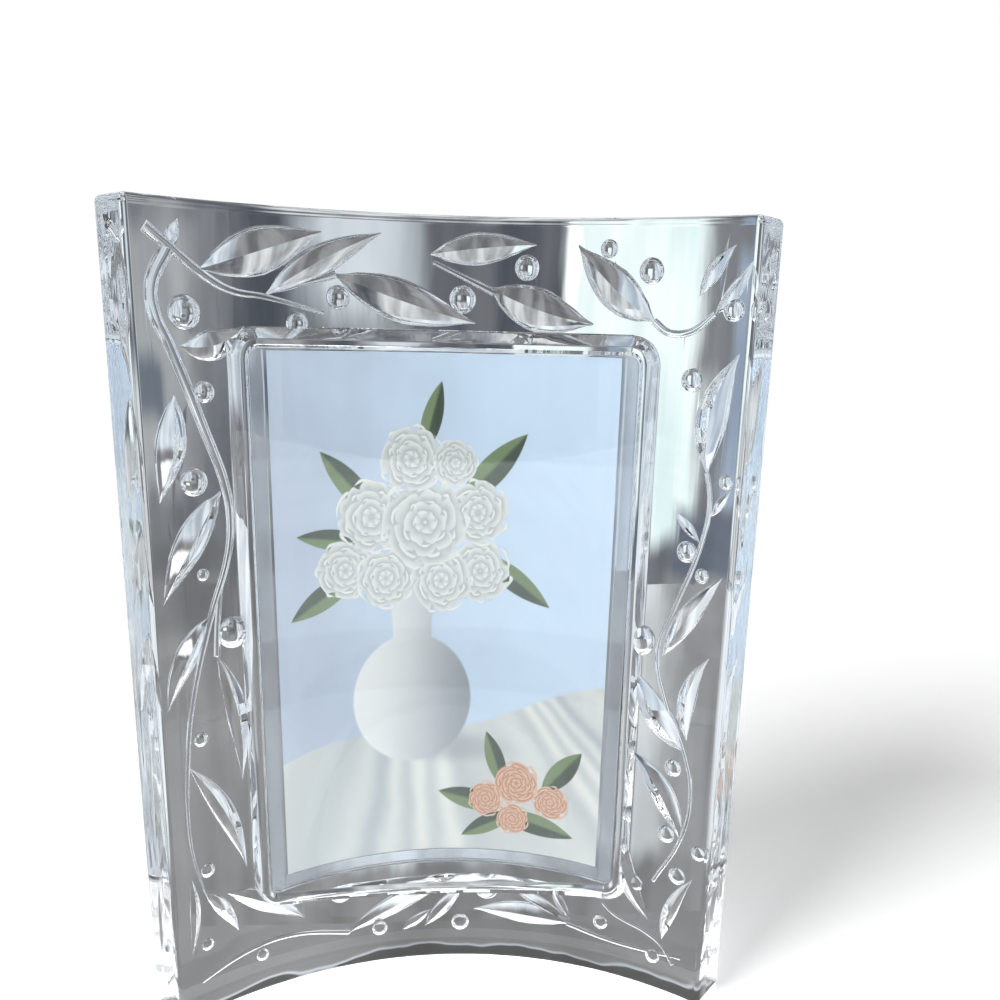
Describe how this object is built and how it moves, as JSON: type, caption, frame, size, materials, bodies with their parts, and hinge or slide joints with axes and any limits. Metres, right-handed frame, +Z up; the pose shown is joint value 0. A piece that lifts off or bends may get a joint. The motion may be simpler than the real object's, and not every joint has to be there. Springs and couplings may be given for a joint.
{
  "type": "curved glass photo frame",
  "caption": "Free-standing photo frame of one thick glass slab curved about an upright axis, with a leaf and berry vine pressed into its border and a clear sleeve for a slide-in print.",
  "frame": {"origin": "middle of the bottom of the frame's box, on the surface that it stands on", "axes": "+Z up; -Y is the way the hollow front face looks; +X is to the right seen from the front"},
  "size_m": [0.1632, 0.0432, 0.217],
  "materials": {
    "glass": "polished",
    "clear_sheet": "gloss",
    "clear_strip": "gloss",
    "print": "satin"
  },
  "bodies": {
    "frame": {"glass_body": "glass", "sleeve_front_sheet": "clear_sheet", "sleeve_back_sheet": "clear_sheet", "sleeve_left_strip": "clear_strip", "sleeve_right_strip": "clear_strip", "sleeve_bottom_strip": "clear_strip"},
    "photo": {"photo_print": "print"}
  },
  "joints": [
    {"name": "photo_slide", "type": "slide", "parent": "frame", "child": "photo", "axis": [0, 0, 1], "range_m": [0, 0.15]}
  ]
}
